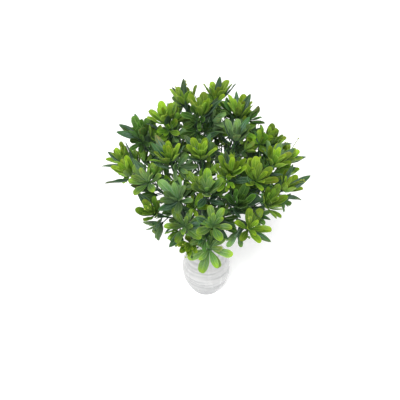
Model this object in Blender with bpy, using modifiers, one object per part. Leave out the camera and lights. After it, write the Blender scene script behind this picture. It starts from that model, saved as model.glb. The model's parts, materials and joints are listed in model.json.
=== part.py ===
"""A table-top shrub of artificial greenery: two bunches of leafy plastic branches in a white ceramic vase.

Metres and degrees, +Z up, with the origin at the centre of the vase's flat foot. The front bunch stands on the
-Y side of the vase's axis and the back bunch on the +Y side, so that either can be lifted straight out. Each
bunch is a main stem on a steel wire core, a moulded collar, and seven branches. A branch ends in two or three
pegs, and each peg carries one moulded leaf cluster.
"""

import math

import bmesh
import bpy
from mathutils import Matrix, Vector

# Clearance between pieces that touch.
GAP = 0.0003

# Points nearer than this are one point, as where a tube's cap meets its side.
WELD = 0.00001

# Vase, as heights along its axis and radii of its outside.
FOOT_TO_BELLY = 0.050
BELLY_TO_NECK = 0.056
NECK_TO_LIP = 0.024
FOOT_RADIUS = 0.0225
BELLY_RADIUS = 0.0380
NECK_RADIUS = 0.0210
LIP_RADIUS = 0.0265
VASE_WALL = 0.0030
VASE_FLOOR = 0.0060
BELLY_ROUNDNESS = 2.2
VASE_SIDES = 36
STEPS_BELOW_BELLY = 5
STEPS_ABOVE_BELLY = 5
STEPS_AT_LIP = 3
SHARP_ANGLE = 40.0

# Main stems, their wire cores and collars.
STEM_OFFSET = 0.0085
STEM_RADIUS = 0.0026
STEM_CAP = 0.0030
WIRE_RADIUS = 0.0010
COLLAR_ABOVE_LIP = 0.0020
COLLAR_HEIGHT = 0.0120
COLLAR_RIM = 0.0030
COLLAR_WALL = 0.0015
STEM_SEAT_DEPTH = 0.0060
STEM_SIDES = 12

# Branches.
ROOT_PITCH = 0.0044
ROOT_BALL_RADIUS = 0.0017
ROOT_BALL_SEGMENTS = 6
ROOT_BALL_RINGS = 5
ROOTS_ROUND = 6
BRANCH_RADIUS = 0.0012
TWIG_RADIUS = 0.0010
PEG_RADIUS = 0.0009
PEG_LENGTH = 0.0040
TWIG_START = 0.62
TWIG_STEP = 0.12
RISE_AT_ROOT = 0.035
RISE_AT_TWIG = 0.020
PULL_AT_PEG = 0.35
BRANCH_SPANS = 7
TWIG_SPANS = 4
TUBE_RESOLUTION = 1

# Leaf clusters.
LEAF_COUNT = 6
LEAF_LENGTH = 0.0280
LEAF_WIDTH = 0.0110
LEAF_THICKNESS = 0.0010
HUB_WALL = 0.0010
HUB_HEIGHT = 0.0040
LEAF_ROOT_HEIGHT = 0.0022
LEAF_RISES = (36.0, 52.0, 66.0)
LEAF_WIDTH_SHARES = (0.72, 1.0, 0.50)
CLUSTER_GAP = 0.0030

# Branches of each bunch. Each has its root's place on the collar, where 0 is the middle and 1 to 6 run round
# it from the bunch's outer side, and its leaf clusters as seen from the collar's head: azimuth, lean from
# upright, and distance in cluster pitches. The first cluster is on the branch itself, the others on twigs.
FRONT_BRANCHES = (
    (4, (-91, 31, 3.95), (-99, 16, 4.15), (-66, 25, 4.10)),
    (5, (-145, 36, 3.85), (-140, 22, 4.05), (-172, 44, 3.65)),
    (6, (-107, 48, 3.30), (-114, 36, 3.75), (-133, 48, 3.30)),
    (0, (-86, 46, 3.40), (-65, 38, 3.60)),
    (3, (-43, 32, 3.85), (-22, 13, 4.20), (-15, 34, 3.90)),
    (2, (-40, 45, 3.45), (-12, 50, 3.35), (-58, 53, 3.10)),
    (1, (-88, 65, 2.25), (-104, 60, 2.60)),
)
BACK_BRANCHES = (
    (3, (173, 51, 3.60), (171, 33, 4.00), (157, 60, 3.10)),
    (2, (149, 40, 3.60), (161, 21, 4.10), (126, 55, 3.00)),
    (4, (117, 22, 4.25), (115, 6, 4.25), (118, 41, 3.70)),
    (1, (86, 43, 3.80), (79, 24, 4.35), (101, 56, 3.05)),
    (0, (57, 40, 3.65), (36, 18, 4.15), (76, 56, 3.10)),
    (6, (30, 50, 3.40), (12, 34, 3.65), (50, 58, 3.05)),
    (5, (7, 48, 3.55), (15, 63, 3.00)),
)

# Heights and sizes that follow from those above.
BELLY_Z = FOOT_TO_BELLY
NECK_Z = BELLY_Z + BELLY_TO_NECK
VASE_HEIGHT = NECK_Z + NECK_TO_LIP
COLLAR_BOTTOM = VASE_HEIGHT + COLLAR_ABOVE_LIP
COLLAR_TOP = COLLAR_BOTTOM + COLLAR_HEIGHT
ROOT_Z = COLLAR_TOP + GAP + ROOT_BALL_RADIUS
STEM_BOTTOM = VASE_FLOOR + GAP
STEM_TOP = COLLAR_BOTTOM + STEM_SEAT_DEPTH
COLLAR_RADIUS = ROOT_PITCH + ROOT_BALL_RADIUS + GAP
WIRE_BORE_RADIUS = WIRE_RADIUS + GAP
SOCKET_RADIUS = (PEG_RADIUS + GAP) / math.cos(math.pi / LEAF_COUNT)
HUB_RADIUS = SOCKET_RADIUS + HUB_WALL
CLUSTER_REACH = HUB_RADIUS + LEAF_LENGTH / len(LEAF_RISES) * sum(math.cos(math.radians(a)) for a in LEAF_RISES)
CLUSTER_PITCH = 2.0 * CLUSTER_REACH + CLUSTER_GAP
COLOURS = {
    "vase": ((0.82, 0.82, 0.81), 0.25, 0.0),
    "wire": ((0.55, 0.56, 0.57), 0.35, 1.0),
    "stem": ((0.05, 0.16, 0.06), 0.55, 0.0),
    "collar": ((0.06, 0.13, 0.05), 0.6, 0.0),
    "branch": ((0.06, 0.20, 0.07), 0.55, 0.0),
    "cluster": ((0.13, 0.36, 0.05), 0.5, 0.0),
}


def clear_scene():
    """Remove every object that the scene starts with."""
    for obj in list(bpy.data.objects):
        bpy.data.objects.remove(obj, do_unlink=True)


def new_collection(name, hidden=False):
    """Make a collection in the scene; a hidden one holds helpers."""
    collection = bpy.data.collections.new(name)
    collection.hide_render = hidden
    bpy.context.scene.collection.children.link(collection)
    return collection


def plastic(name, finish):
    """Make the material of one piece from a named colour, roughness and metallic value."""
    colour, roughness, metallic = COLOURS[finish]
    material = bpy.data.materials.new(name)
    material.use_nodes = True
    shader = material.node_tree.nodes["Principled BSDF"]
    shader.inputs["Base Color"].default_value = (*colour, 1.0)
    shader.inputs["Roughness"].default_value = roughness
    shader.inputs["Metallic"].default_value = metallic
    return material


def add_piece(name, mesh, finish, collection, matrix=None, parent=None):
    """Put a mesh in the scene as one named piece with its own material."""
    obj = bpy.data.objects.new(name, mesh)
    collection.objects.link(obj)
    mesh.materials.clear()
    mesh.materials.append(plastic(name, finish))
    if parent is not None:
        obj.parent = parent
    if matrix is not None:
        obj.matrix_local = matrix
    return obj


def shade_round(mesh):
    """Shade a mesh smooth but for its sharp edges."""
    mesh.shade_smooth()
    mesh.set_sharp_from_angle(angle=math.radians(SHARP_ANGLE))


def mesh_from_bmesh(name, bm):
    """Turn an edit mesh into a mesh with its faces pointing out."""
    bmesh.ops.recalc_face_normals(bm, faces=bm.faces)
    mesh = bpy.data.meshes.new(name)
    bm.to_mesh(mesh)
    bm.free()
    return mesh


def turned_mesh(name, profile, sides):
    """Turn a profile, given as (radius, height) pairs from the axis and back to it, about +Z."""
    bm = bmesh.new()
    verts = [bm.verts.new((radius, 0.0, height)) for radius, height in profile]
    for a, b in zip(verts, verts[1:]):
        bm.edges.new((a, b))
    outline = bpy.data.meshes.new(name + "_profile")
    bm.to_mesh(outline)
    bm.free()
    obj = bpy.data.objects.new(name + "_turned", outline)
    bpy.context.scene.collection.objects.link(obj)
    screw = obj.modifiers.new("Turn", "SCREW")
    screw.axis = "Z"
    screw.steps = sides
    screw.render_steps = sides
    screw.use_merge_vertices = True
    screw.merge_threshold = 0.00005
    mesh = evaluated_mesh(obj, name, WELD)
    bpy.data.objects.remove(obj, do_unlink=True)
    return mesh


def evaluated_mesh(obj, name, weld=None):
    """Copy an object's mesh as its modifiers leave it, and make one of points nearer than the weld."""
    bpy.context.view_layer.update()
    graph = bpy.context.evaluated_depsgraph_get()
    mesh = bpy.data.meshes.new_from_object(obj.evaluated_get(graph))
    mesh.name = name
    if weld is not None:
        bm = bmesh.new()
        bm.from_mesh(mesh)
        bmesh.ops.remove_doubles(bm, verts=bm.verts, dist=weld)
        bm.to_mesh(mesh)
        bm.free()
    return mesh


def outer_radius(z):
    """Radius of the vase's outside at a height."""
    if z <= BELLY_Z:
        below = (BELLY_Z - z) / FOOT_TO_BELLY
        return FOOT_RADIUS + (BELLY_RADIUS - FOOT_RADIUS) * (1.0 - below**BELLY_ROUNDNESS)
    if z <= NECK_Z:
        above = (z - BELLY_Z) / BELLY_TO_NECK
        return NECK_RADIUS + (BELLY_RADIUS - NECK_RADIUS) * 0.5 * (1.0 + math.cos(math.pi * above))
    above = (z - NECK_Z) / NECK_TO_LIP
    return NECK_RADIUS + (LIP_RADIUS - NECK_RADIUS) * above**2


def vase_heights(start):
    """Heights of the vase's rings from start up to its lip."""
    below = [start + (BELLY_Z - start) * i / STEPS_BELOW_BELLY for i in range(STEPS_BELOW_BELLY)]
    middle = [BELLY_Z + BELLY_TO_NECK * i / STEPS_ABOVE_BELLY for i in range(STEPS_ABOVE_BELLY)]
    top = [NECK_Z + NECK_TO_LIP * i / STEPS_AT_LIP for i in range(STEPS_AT_LIP + 1)]
    return below + middle + top


def make_vase(collection):
    """The vase: a turned open vessel with an even wall and a flat foot."""
    inside = [(outer_radius(z) - VASE_WALL, z) for z in vase_heights(VASE_FLOOR)]
    outside = [(outer_radius(z), z) for z in reversed(vase_heights(0.0))]
    profile = [(0.0, VASE_FLOOR)] + inside + outside + [(0.0, 0.0)]
    mesh = turned_mesh("vase", profile, VASE_SIDES)
    shade_round(mesh)
    return add_piece("vase", mesh, "vase", collection)


def make_stem(bunch, collection, parent):
    """A bunch's main stem: a rod with a blind bore for its wire, open at the foot."""
    bore_top = STEM_TOP - STEM_CAP
    profile = (
        (0.0, STEM_TOP),
        (STEM_RADIUS, STEM_TOP),
        (STEM_RADIUS, STEM_BOTTOM),
        (WIRE_BORE_RADIUS, STEM_BOTTOM),
        (WIRE_BORE_RADIUS, bore_top),
        (0.0, bore_top),
    )
    mesh = turned_mesh(bunch + "_stem", profile, STEM_SIDES)
    shade_round(mesh)
    add_piece(bunch + "_bunch_stem", mesh, "stem", collection, parent=parent)
    wire_top = bore_top - GAP
    wire_profile = ((0.0, wire_top), (WIRE_RADIUS, wire_top), (WIRE_RADIUS, STEM_BOTTOM), (0.0, STEM_BOTTOM))
    wire = turned_mesh(bunch + "_wire", wire_profile, STEM_SIDES)
    shade_round(wire)
    add_piece(bunch + "_bunch_wire_core", wire, "wire", collection, parent=parent)


def make_collar(bunch, collection, parent):
    """The moulded collar on the stem's top, with a flat head where the branches root."""
    seat_radius = STEM_RADIUS + GAP
    waist = seat_radius + COLLAR_WALL
    profile = (
        (0.0, COLLAR_TOP),
        (COLLAR_RADIUS, COLLAR_TOP),
        (COLLAR_RADIUS, COLLAR_TOP - COLLAR_RIM),
        (waist, COLLAR_BOTTOM),
        (seat_radius, COLLAR_BOTTOM),
        (seat_radius, STEM_TOP + GAP),
        (0.0, STEM_TOP + GAP),
    )
    mesh = turned_mesh(bunch + "_collar", profile, STEM_SIDES)
    shade_round(mesh)
    add_piece(bunch + "_bunch_collar", mesh, "collar", collection, parent=parent)


def direction(azimuth, lean):
    """Unit vector at an azimuth and a lean from upright, in degrees."""
    a, b = math.radians(azimuth), math.radians(lean)
    return Vector((math.sin(b) * math.cos(a), math.sin(b) * math.sin(a), math.cos(b)))


def axis_matrix(axis, place):
    """Matrix that puts local +Z along an axis at a place."""
    return Matrix.Translation(place) @ axis.to_track_quat("Z", "Y").to_matrix().to_4x4()


def cluster_seats(directions, collar_top):
    """Places and axes of a branch's leaf clusters, which face away from the collar's head."""
    seats = []
    for azimuth, lean, pitches in directions:
        axis = direction(azimuth, lean)
        seats.append((collar_top + axis * pitches * CLUSTER_PITCH, axis))
    return seats


def bezier_points(start, start_pull, end_pull, end, spans):
    """Points along a cubic curve."""
    points = []
    for i in range(spans + 1):
        t = i / spans
        s = 1.0 - t
        points.append(start * s**3 + start_pull * 3 * s * s * t + end_pull * 3 * s * t * t + end * t**3)
    return points


def stem_path(start, start_axis, rise, seat, axis, spans):
    """Points from a start to the root of a peg just short of its seat, then along the straight peg."""
    peg_root = seat - axis * GAP
    pull = (peg_root - start).length * PULL_AT_PEG
    points = bezier_points(start, start + start_axis * rise, peg_root - axis * pull, peg_root, spans)
    return points + [seat + axis * PEG_LENGTH]


def tube_object(name, points, radius, end_radius):
    """A round tube along points, its last stretch a thinner peg, as a mesh object."""
    curve = bpy.data.curves.new(name, "CURVE")
    curve.dimensions = "3D"
    curve.bevel_depth = 1.0
    curve.bevel_resolution = TUBE_RESOLUTION
    curve.use_fill_caps = True
    spline = curve.splines.new("POLY")
    spline.points.add(len(points) - 1)
    for i, (point, place) in enumerate(zip(spline.points, points)):
        share = min(1.0, i / (len(points) - 2))
        point.co = (*place, 1.0)
        point.radius = radius + (end_radius - radius) * share
    obj = bpy.data.objects.new(name + "_curve", curve)
    bpy.context.scene.collection.objects.link(obj)
    mesh = evaluated_mesh(obj, name, WELD)
    bpy.data.objects.remove(obj, do_unlink=True)
    return bpy.data.objects.new(name, mesh)


def united_mesh(name, first, others):
    """One mesh from overlapping solids, which are used up."""
    helpers = bpy.data.collections.new(name + "_joins")
    bpy.context.scene.collection.children.link(helpers)
    for obj in [first, *others]:
        helpers.objects.link(obj)
    for other in others:
        join = first.modifiers.new("Join", "BOOLEAN")
        join.operation = "UNION"
        join.solver = "EXACT"
        join.object = other
    mesh = evaluated_mesh(first, name)
    for obj in [first, *others]:
        bpy.data.objects.remove(obj, do_unlink=True)
    bpy.data.collections.remove(helpers)
    keep_largest_shell(mesh)
    return mesh


def keep_largest_shell(mesh):
    """Remove the crumbs that a union can leave where tubes cross at a flat angle."""
    bm = bmesh.new()
    bm.from_mesh(mesh)
    unseen = set(bm.verts)
    shells = []
    while unseen:
        shell = set()
        reached = [unseen.pop()]
        while reached:
            vert = reached.pop()
            shell.add(vert)
            near = {edge.other_vert(vert) for edge in vert.link_edges} & unseen
            unseen -= near
            reached.extend(near)
        shells.append(shell)
    largest = max(shells, key=len)
    crumbs = [vert for vert in bm.verts if vert not in largest]
    bmesh.ops.delete(bm, geom=crumbs, context="VERTS")
    bm.to_mesh(mesh)
    bm.free()


def ball_object(name, centre, radius):
    """The rounded root of a branch."""
    bm = bmesh.new()
    centred = Matrix.Translation(centre)
    bmesh.ops.create_uvsphere(
        bm, u_segments=ROOT_BALL_SEGMENTS, v_segments=ROOT_BALL_RINGS, radius=radius, matrix=centred
    )
    return bpy.data.objects.new(name, mesh_from_bmesh(name, bm))


def branch_mesh(name, root, seats):
    """One moulded branch: a rounded root, a stem to the first peg and a twig to each other peg."""
    upright = Vector((0.0, 0.0, 1.0))
    seat, axis = seats[0]
    path = stem_path(root, upright, RISE_AT_ROOT, seat, axis, BRANCH_SPANS)
    stem = tube_object(name + "_stem", path, BRANCH_RADIUS, PEG_RADIUS)
    others = [ball_object(name + "_root", root, ROOT_BALL_RADIUS)]
    for i, (seat, axis) in enumerate(seats[1:]):
        at = (TWIG_START - TWIG_STEP * i) * BRANCH_SPANS
        index = int(at)
        start = path[index].lerp(path[index + 1], at - index)
        along = (path[index + 1] - path[index]).normalized()
        aside = (along + (seat - start).normalized()).normalized()
        twig_path = stem_path(start, aside, RISE_AT_TWIG, seat, axis, TWIG_SPANS)
        others.append(tube_object(f"{name}_twig_{i}", twig_path, TWIG_RADIUS, PEG_RADIUS))
    return united_mesh(name, stem, others)


def leaf_ring(bm, face, azimuth):
    """Draw one leaf out of a side of the hub, as three tapering stretches that rise more and more."""
    outward = Vector((math.cos(azimuth), math.sin(azimuth), 0.0))
    sideways = Vector((-outward.y, outward.x, 0.0))
    upright = Vector((0.0, 0.0, 1.0))
    centre = face.calc_center_median()
    stretch = LEAF_LENGTH / len(LEAF_RISES)
    for rise, share in zip(LEAF_RISES, LEAF_WIDTH_SHARES):
        slope = math.radians(rise)
        centre = centre + (outward * math.cos(slope) + upright * math.sin(slope)) * stretch
        normal = upright * math.cos(slope) - outward * math.sin(slope)
        face = bmesh.ops.extrude_discrete_faces(bm, faces=[face])["faces"][0]
        middle = face.calc_center_median()
        for vert in face.verts:
            side = math.copysign(0.5 * LEAF_WIDTH * share, (vert.co - middle).dot(sideways))
            height = math.copysign(0.5 * LEAF_THICKNESS, (vert.co - middle).dot(upright))
            vert.co = centre + sideways * side + normal * height


def cluster_mesh(name):
    """One moulded leaf cluster, its hub's foot at the origin and its axis +Z."""
    bm = bmesh.new()
    bmesh.ops.create_cone(
        bm,
        cap_ends=True,
        segments=LEAF_COUNT,
        radius1=HUB_RADIUS,
        radius2=HUB_RADIUS,
        depth=HUB_HEIGHT,
        matrix=Matrix.Translation((0.0, 0.0, 0.5 * HUB_HEIGHT)),
    )
    top = max(bm.faces, key=lambda face: face.calc_center_median().z)
    grown = bmesh.ops.extrude_face_region(bm, geom=[top])["geom"]
    bmesh.ops.delete(bm, geom=[top], context="FACES_ONLY")
    crown = [item for item in grown if isinstance(item, bmesh.types.BMVert)]
    bmesh.ops.translate(bm, verts=crown, vec=(0.0, 0.0, LEAF_ROOT_HEIGHT))
    bm.faces.ensure_lookup_table()
    bm.normal_update()
    sides = [
        face
        for face in bm.faces
        if abs(face.normal.z) < 0.5 and face.calc_center_median().z > HUB_HEIGHT
    ]
    for face in sides:
        centre = face.calc_center_median()
        leaf_ring(bm, face, math.atan2(centre.y, centre.x))
    foot = min(bm.faces, key=lambda face: face.calc_center_median().z)
    bmesh.ops.inset_region(bm, faces=[foot], thickness=HUB_WALL * math.cos(math.pi / LEAF_COUNT))
    socket = bmesh.ops.extrude_face_region(bm, geom=[foot])["geom"]
    bmesh.ops.delete(bm, geom=[foot], context="FACES_ONLY")
    floor = [item for item in socket if isinstance(item, bmesh.types.BMVert)]
    bmesh.ops.translate(bm, verts=floor, vec=(0.0, 0.0, PEG_LENGTH + GAP))
    return mesh_from_bmesh(name, bm)


def root_place(bunch_side, slot):
    """Where a branch roots on its collar's head."""
    if slot == 0:
        return Vector((0.0, 0.0, ROOT_Z))
    angle = math.radians(90.0 * bunch_side + 360.0 / ROOTS_ROUND * (slot - 1))
    return Vector((ROOT_PITCH * math.cos(angle), ROOT_PITCH * math.sin(angle), ROOT_Z))


def make_bunch(bunch, side, branches, collection):
    """One bunch: stem, wire core, collar and its branches with their leaf clusters."""
    origin = bpy.data.objects.new(bunch + "_bunch", None)
    collection.objects.link(origin)
    origin.location = (0.0, side * STEM_OFFSET, 0.0)
    make_stem(bunch, collection, origin)
    make_collar(bunch, collection, origin)
    collar_top = Vector((0.0, 0.0, COLLAR_TOP))
    for number, (slot, *directions) in enumerate(branches, start=1):
        name = f"{bunch}_branch_{number}"
        root = root_place(side, slot)
        seats = cluster_seats(directions, collar_top)
        to_root = Matrix.Translation(-root)
        mesh = branch_mesh(name, root, seats)
        mesh.transform(to_root)
        shade_round(mesh)
        stem = add_piece(name, mesh, "branch", collection, Matrix.Translation(root), origin)
        for letter, (seat, axis) in zip("abc", seats):
            cluster = f"{name}_cluster_{letter}"
            placed = axis_matrix(axis, seat - root)
            add_piece(cluster, cluster_mesh(cluster), "cluster", collection, placed, stem)


def main():
    """Build the vase and both bunches."""
    clear_scene()
    collection = new_collection("artificial_tabletop_shrub")
    make_vase(collection)
    make_bunch("front", -1, FRONT_BRANCHES, collection)
    make_bunch("back", 1, BACK_BRANCHES, collection)


main()
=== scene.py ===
"""The looks of a table-top shrub of artificial greenery, two bunches of it in a white ceramic vase.

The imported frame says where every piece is. Here the vase gets its thrown ribs and its glaze, each bunch
its moulded stem and collar, each branch its stems, leaves, sprigs and side shoots, and each leaf cluster
becomes a rosette of thin dished leaves round a moulded hub. Metres, +Z up, the origin at the centre of the
vase's foot.
"""

from __future__ import annotations

import json
import logging
import math
import random
from collections.abc import Sequence
from dataclasses import dataclass, field
from enum import Enum
from functools import cache

import bpy
import numpy as np
from mathutils import Matrix, Vector

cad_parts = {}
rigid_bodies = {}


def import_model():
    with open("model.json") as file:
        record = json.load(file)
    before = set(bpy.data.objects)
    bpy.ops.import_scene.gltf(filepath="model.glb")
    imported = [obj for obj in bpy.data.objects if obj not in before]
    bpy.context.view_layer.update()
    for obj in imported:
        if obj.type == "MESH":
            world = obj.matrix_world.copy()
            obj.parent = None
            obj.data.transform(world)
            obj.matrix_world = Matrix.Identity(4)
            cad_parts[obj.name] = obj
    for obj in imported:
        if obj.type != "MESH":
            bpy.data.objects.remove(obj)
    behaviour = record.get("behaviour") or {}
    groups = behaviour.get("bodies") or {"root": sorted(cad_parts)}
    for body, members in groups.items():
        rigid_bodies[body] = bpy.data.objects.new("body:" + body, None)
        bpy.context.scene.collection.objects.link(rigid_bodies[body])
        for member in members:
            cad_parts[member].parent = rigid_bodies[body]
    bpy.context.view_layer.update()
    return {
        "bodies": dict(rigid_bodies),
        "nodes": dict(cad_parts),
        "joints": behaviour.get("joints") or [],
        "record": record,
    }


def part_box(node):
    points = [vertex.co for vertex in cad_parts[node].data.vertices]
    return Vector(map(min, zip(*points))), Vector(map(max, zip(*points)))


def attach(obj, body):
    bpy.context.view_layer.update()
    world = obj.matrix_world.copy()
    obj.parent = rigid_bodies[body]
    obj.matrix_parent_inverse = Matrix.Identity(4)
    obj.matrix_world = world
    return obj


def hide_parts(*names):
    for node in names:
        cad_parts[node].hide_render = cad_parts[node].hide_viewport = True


LOG = logging.getLogger("shrub")
GOLDEN_ANGLE = math.radians(137.5)
SHARP_ANGLE = math.radians(48.0)
COAT_ROUGHNESS = 0.08

Colour = tuple[float, float, float]


class Value:
    """An output socket of a recipe, so that sums over the surface read as Python expressions."""

    def __init__(self, recipe: Recipe, socket: bpy.types.NodeSocket) -> None:
        """Keep the socket and the recipe it belongs to."""
        self.recipe = recipe
        self.socket = socket

    def _maths(self, operation: str, *operands: Operand) -> Value:
        """Add one Math node.

        Args:
            operation: the Math node's operation.
            operands: its inputs, in order.

        Returns:
            The node's result.
        """
        return self.recipe.node("ShaderNodeMath", {"operation": operation}, dict(enumerate(operands)))

    def __add__(self, other: Operand) -> Value:
        """Sum."""
        return self._maths("ADD", self, other)

    def __radd__(self, other: Operand) -> Value:
        """Sum, with the number first."""
        return self._maths("ADD", other, self)

    def __sub__(self, other: Operand) -> Value:
        """Difference."""
        return self._maths("SUBTRACT", self, other)

    def __rsub__(self, other: Operand) -> Value:
        """Difference, with the number first."""
        return self._maths("SUBTRACT", other, self)

    def __mul__(self, other: Operand) -> Value:
        """Product."""
        return self._maths("MULTIPLY", self, other)

    def __rmul__(self, other: Operand) -> Value:
        """Product, with the number first."""
        return self._maths("MULTIPLY", other, self)

    def __pow__(self, other: Operand) -> Value:
        """Power."""
        return self._maths("POWER", self, other)

    def __abs__(self) -> Value:
        """Distance from nought."""
        return self._maths("ABSOLUTE", self)

    def sine(self) -> Value:
        """Sine of the value in radians."""
        return self._maths("SINE", self)

    def clamped(self) -> Value:
        """The value kept between 0 and 1."""
        settings = {"operation": "ADD", "use_clamp": True}
        return self.recipe.node("ShaderNodeMath", settings, {0: self, 1: 0.0})

    def ramp(self, low: float, high: float) -> Value:
        """A straight rise from 0 at low to 1 at high."""
        return ((self - low) * (1.0 / (high - low))).clamped()


Operand = Value | float


class Recipe:
    """One material while its nodes are laid out."""

    def __init__(self, name: str) -> None:
        """Start a material with its Principled shader."""
        self.material = bpy.data.materials.new(name)
        self.material.use_nodes = True
        self.tree = self.material.node_tree
        self.shader = self.tree.nodes["Principled BSDF"]

    def node(
        self, kind: str, settings: dict | None = None, inputs: dict | None = None, output: int | str = 0
    ) -> Value:
        """Add a node of any type.

        Args:
            kind: the node's type name.
            settings: its own settings, set first; "stops" lists a ramp's (place, colour) pairs.
            inputs: numbers, colours or values for its sockets, by name or index.
            output: the output wanted.

        Returns:
            That output.
        """
        made = self.tree.nodes.new(kind)
        for key, value in (settings or {}).items():
            if key == "stops":
                self._set_stops(made.color_ramp, value)
            else:
                setattr(made, key, value)
        for key, value in (inputs or {}).items():
            self.feed(made.inputs[key], value)
        return Value(self, made.outputs[output])

    @staticmethod
    def _set_stops(ramp: bpy.types.ColorRamp, stops: Sequence[tuple[float, Colour]]) -> None:
        """Give a ramp its stops."""
        while len(ramp.elements) < len(stops):
            ramp.elements.new(1.0)
        for element, (place, colour) in zip(ramp.elements, stops):
            element.position = place
            element.color = (*colour, 1.0)

    def feed(self, socket: bpy.types.NodeSocket, value: Operand | Colour) -> None:
        """Set a socket's value, or link it."""
        if isinstance(value, Value):
            self.tree.links.new(value.socket, socket)
        elif socket.type == "RGBA":
            socket.default_value = (*value, 1.0)
        else:
            socket.default_value = value

    def mix(self, first: Value | Colour, second: Value | Colour, share: Operand, blend: str = "MIX") -> Value:
        """Blend two colours by a share of the second."""
        settings = {"data_type": "RGBA", "blend_type": blend}
        return self.node("ShaderNodeMix", settings, {0: share, 6: first, 7: second}, output=2)

    def mark(self, name: str) -> tuple[Value, Value, Value]:
        """The three numbers that a piece carries at each point under a name."""
        vector = self.node("ShaderNodeAttribute", {"attribute_name": name}, output="Vector")
        return tuple(
            self.node("ShaderNodeSeparateXYZ", None, {"Vector": vector}, output=axis) for axis in range(3)
        )

    def noise(self, scale: float, detail: float = 3.0, stretch: Colour = (1.0, 1.0, 1.0)) -> Value:
        """Noise over the piece, with scale in features to a metre, stretched along the axes."""
        place = self.node("ShaderNodeTexCoord", output="Object")
        if stretch != (1.0, 1.0, 1.0):
            place = self.node("ShaderNodeMapping", None, {"Vector": place, "Scale": stretch})
        return self.node("ShaderNodeTexNoise", None, {"Vector": place, "Scale": scale, "Detail": detail})

    def own_noise(self, scale: float, detail: float, stretch: Colour = (1.0, 1.0, 1.0)) -> Value:
        """Noise over each leaf, laid along it and different on every one."""
        place = self.node("ShaderNodeAttribute", {"attribute_name": "leaf_place"}, output="Vector")
        tone = self.node("ShaderNodeAttribute", {"attribute_name": "leaf_tone"}, output="Vector")
        apart = self.node("ShaderNodeVectorMath", {"operation": "SCALE"}, {0: tone, "Scale": 40.0})
        inputs = {0: place, 1: stretch, 2: apart}
        place = self.node("ShaderNodeVectorMath", {"operation": "MULTIPLY_ADD"}, inputs)
        return self.node("ShaderNodeTexNoise", None, {"Vector": place, "Scale": scale, "Detail": detail})

    def dress(
        self,
        colour: Value,
        roughness: Value,
        height: Value,
        relief: float,
        strength: float,
        metallic: float = 0.0,
        coat: float = 0.0,
        specular: float = 0.5,
    ) -> bpy.types.Material:
        """Join colour, roughness and relief to the shader.

        Args:
            colour: base colour over the surface.
            roughness: roughness over the surface.
            height: height map of the fine relief, 0 to 1.
            relief: depth of that relief in metres.
            strength: how strongly it tilts the surface.
            metallic: metallic value.
            coat: weight of the clear coat.
            specular: strength of the mirror-like reflection.

        Returns:
            The finished material.
        """
        inputs = {"Height": height, "Strength": strength, "Distance": relief}
        self.feed(self.shader.inputs["Normal"], self.node("ShaderNodeBump", None, inputs))
        self.feed(self.shader.inputs["Base Color"], colour)
        self.feed(self.shader.inputs["Roughness"], roughness)
        self.shader.inputs["Metallic"].default_value = metallic
        self.shader.inputs["Coat Weight"].default_value = coat
        self.shader.inputs["Coat Roughness"].default_value = COAT_ROUGHNESS
        self.shader.inputs["Specular IOR Level"].default_value = specular
        return self.material


@dataclass(frozen=True)
class LeafFinish:
    """Soft moulded leaf plastic, shaded from foot to tip, with veins, a pale margin and a dull bloom; the
    dark foot is partly painted shade, and the margin's pale rim is partly a painted highlight.
    """

    name: str
    foot: Colour
    blade: Colour
    tip: Colour
    margin: Colour
    under: Colour
    bloom: Colour
    bloom_share: float
    wear: Colour = (0.23, 0.16, 0.03)
    side_veins: float = 8.0
    vein_slant: float = 1.5

    @cache
    def material(self) -> bpy.types.Material:
        """Make the material once."""
        recipe = Recipe(self.name)
        along, across, side = recipe.mark("leaf_place")
        hue, light, worn = recipe.mark("leaf_tone")
        cloud = recipe.own_noise(2.4, 3.0)
        streak = recipe.own_noise(1.3, 2.0, (1.0, 5.0, 1.0))
        grain = recipe.noise(900.0, 2.0)
        edge = abs(across)
        reach = along + (cloud - 0.5) * 0.45 + (hue - 0.5) * 0.3
        # The foot stop is partly the leaf's own bluish dark green and partly painted shade from deep in the
        # cup.
        stops = ((0.0, self.foot), (0.30, self.blade), (0.62, self.blade), (0.95, self.tip))
        colour = recipe.node("ShaderNodeValToRGB", {"stops": stops}, {"Fac": reach})
        rows = (along * self.side_veins - edge * self.vein_slant) * (2.0 * math.pi)
        vein = (rows.sine() * 0.5 + 0.5) ** 6.0 * edge.ramp(1.0, 0.55)
        midrib = edge.ramp(0.14, 0.03) * along.ramp(1.0, 0.80)
        fold = ((edge * (3.0 * math.pi) + 0.5 * math.pi).sine() * 0.5 + 0.5) ** 3.0 * along.ramp(1.0, 0.6)
        lines = (vein * 0.35 + midrib * 0.9 + fold * 0.45).clamped()
        # Painted shade: between the veins the blade is darkened towards the foot, deep in the cup.
        low = along.ramp(0.85, 0.2) * streak.ramp(0.3, 0.6)
        colour = recipe.mix(colour, self.foot, (1.0 - lines) * low * 0.75)
        colour = recipe.mix(colour, self.margin, lines * 0.55)
        # The pale rim is partly the margin's own colour and partly a painted highlight along the edge.
        colour = recipe.mix(colour, self.margin, edge.ramp(0.80, 0.96) * along.ramp(0.12, 0.40) * 0.92)
        bloom = (streak.ramp(0.48, 0.62) * self.bloom_share * along.ramp(1.0, 0.60)).clamped()
        colour = recipe.mix(colour, self.bloom, bloom)
        colour = recipe.mix(colour, self.under, side.ramp(0.6, 0.4) * 0.55)
        brown = worn.ramp(0.72, 0.98) * cloud.ramp(0.50, 0.68) * along.ramp(0.35, 0.8) * 0.75
        colour = recipe.mix(colour, self.wear, brown)
        shade = {"Hue": 0.488 + hue * 0.024, "Value": 0.58 + light * 0.84, "Color": colour}
        colour = recipe.node("ShaderNodeHueSaturation", None, shade)
        roughness = 0.38 + grain * 0.18 + bloom * 0.12
        height = lines * -0.60 + grain * 0.20 + cloud * 0.35
        return recipe.dress(colour, roughness, height, 0.0006, 0.7, specular=0.24)


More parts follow.
